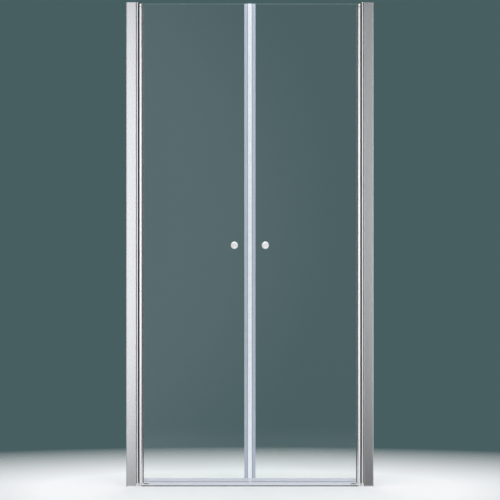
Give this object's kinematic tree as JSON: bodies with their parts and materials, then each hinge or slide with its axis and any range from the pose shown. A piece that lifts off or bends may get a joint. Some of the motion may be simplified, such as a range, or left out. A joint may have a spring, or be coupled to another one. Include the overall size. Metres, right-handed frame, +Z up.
{
  "type": "two-leaf pendulum shower door",
  "caption": "Niche shower door with clear glass leaves that swing both ways on pivot profiles, wall channels, translucent seals, magnetic closing edge and round knobs.",
  "frame": {"origin": "middle of the door's foot at tray level, on the middle plane of the glass", "axes": "+Z up, +X to the right seen from outside the shower, +Y into the shower"},
  "size_m": [0.995, 0.0566, 1.95],
  "materials": {
    "polished_aluminium": "polished",
    "chrome_fitting": "polished",
    "cap_plastic": "glossy, metal colour",
    "steel": "turned",
    "translucent_seal": "translucent",
    "smoke_seal": "smoky, translucent",
    "dark_seal": "matt",
    "white_plastic": "moulded",
    "clear_glass": "clear safety glass",
    "magnet": "magnet-filled rubber",
    "clear_plastic": "clear"
  },
  "bodies": {
    "frame": {"wall_profile_left": "polished_aluminium", "wall_profile_cap_left": "cap_plastic", "hinge_post_left": "polished_aluminium", "post_top_cap_left": "chrome_fitting", "post_bottom_cap_left": "chrome_fitting", "pivot_pins_left": "steel", "pivot_gap_seal_left": "dark_seal", "locking_screws_left": "steel", "screw_covers_left": "cap_plastic", "wall_profile_right": "polished_aluminium", "wall_profile_cap_right": "cap_plastic", "hinge_post_right": "polished_aluminium", "post_top_cap_right": "chrome_fitting", "post_bottom_cap_right": "chrome_fitting", "pivot_pins_right": "steel", "pivot_gap_seal_right": "dark_seal", "locking_screws_right": "steel", "screw_covers_right": "cap_plastic", "threshold": "polished_aluminium"},
    "left_leaf": {"pivot_bushes_left": "white_plastic", "leaf_profile_left": "polished_aluminium", "leaf_top_cap_left": "chrome_fitting", "leaf_foot_left": "chrome_fitting", "glass_rest_pad_left": "white_plastic", "glazing_gasket_left": "smoke_seal", "glass_panel_left": "clear_glass", "magnet_seal_left": "translucent_seal", "magnet_strip_left": "magnet", "bottom_seal_left": "translucent_seal", "knob_outer_left": "chrome_fitting", "knob_inner_left": "chrome_fitting", "knob_stud_left": "steel", "knob_washers_left": "clear_plastic", "knob_sleeve_left": "clear_plastic"},
    "right_leaf": {"pivot_bushes_right": "white_plastic", "leaf_profile_right": "polished_aluminium", "leaf_top_cap_right": "chrome_fitting", "leaf_foot_right": "chrome_fitting", "glass_rest_pad_right": "white_plastic", "glazing_gasket_right": "smoke_seal", "glass_panel_right": "clear_glass", "magnet_seal_right": "translucent_seal", "magnet_strip_right": "magnet", "bottom_seal_right": "translucent_seal", "knob_outer_right": "chrome_fitting", "knob_inner_right": "chrome_fitting", "knob_stud_right": "steel", "knob_washers_right": "clear_plastic", "knob_sleeve_right": "clear_plastic"}
  },
  "joints": [
    {"name": "left_leaf_pivot", "type": "hinge", "parent": "frame", "child": "left_leaf", "pos_m": [-0.442, 0, 0.975], "axis": [0, 0, -1], "range_deg": [-90, 90]},
    {"name": "right_leaf_pivot", "type": "hinge", "parent": "frame", "child": "right_leaf", "pos_m": [0.442, 0, 0.975], "axis": [0, 0, 1], "range_deg": [-90, 90]}
  ]
}
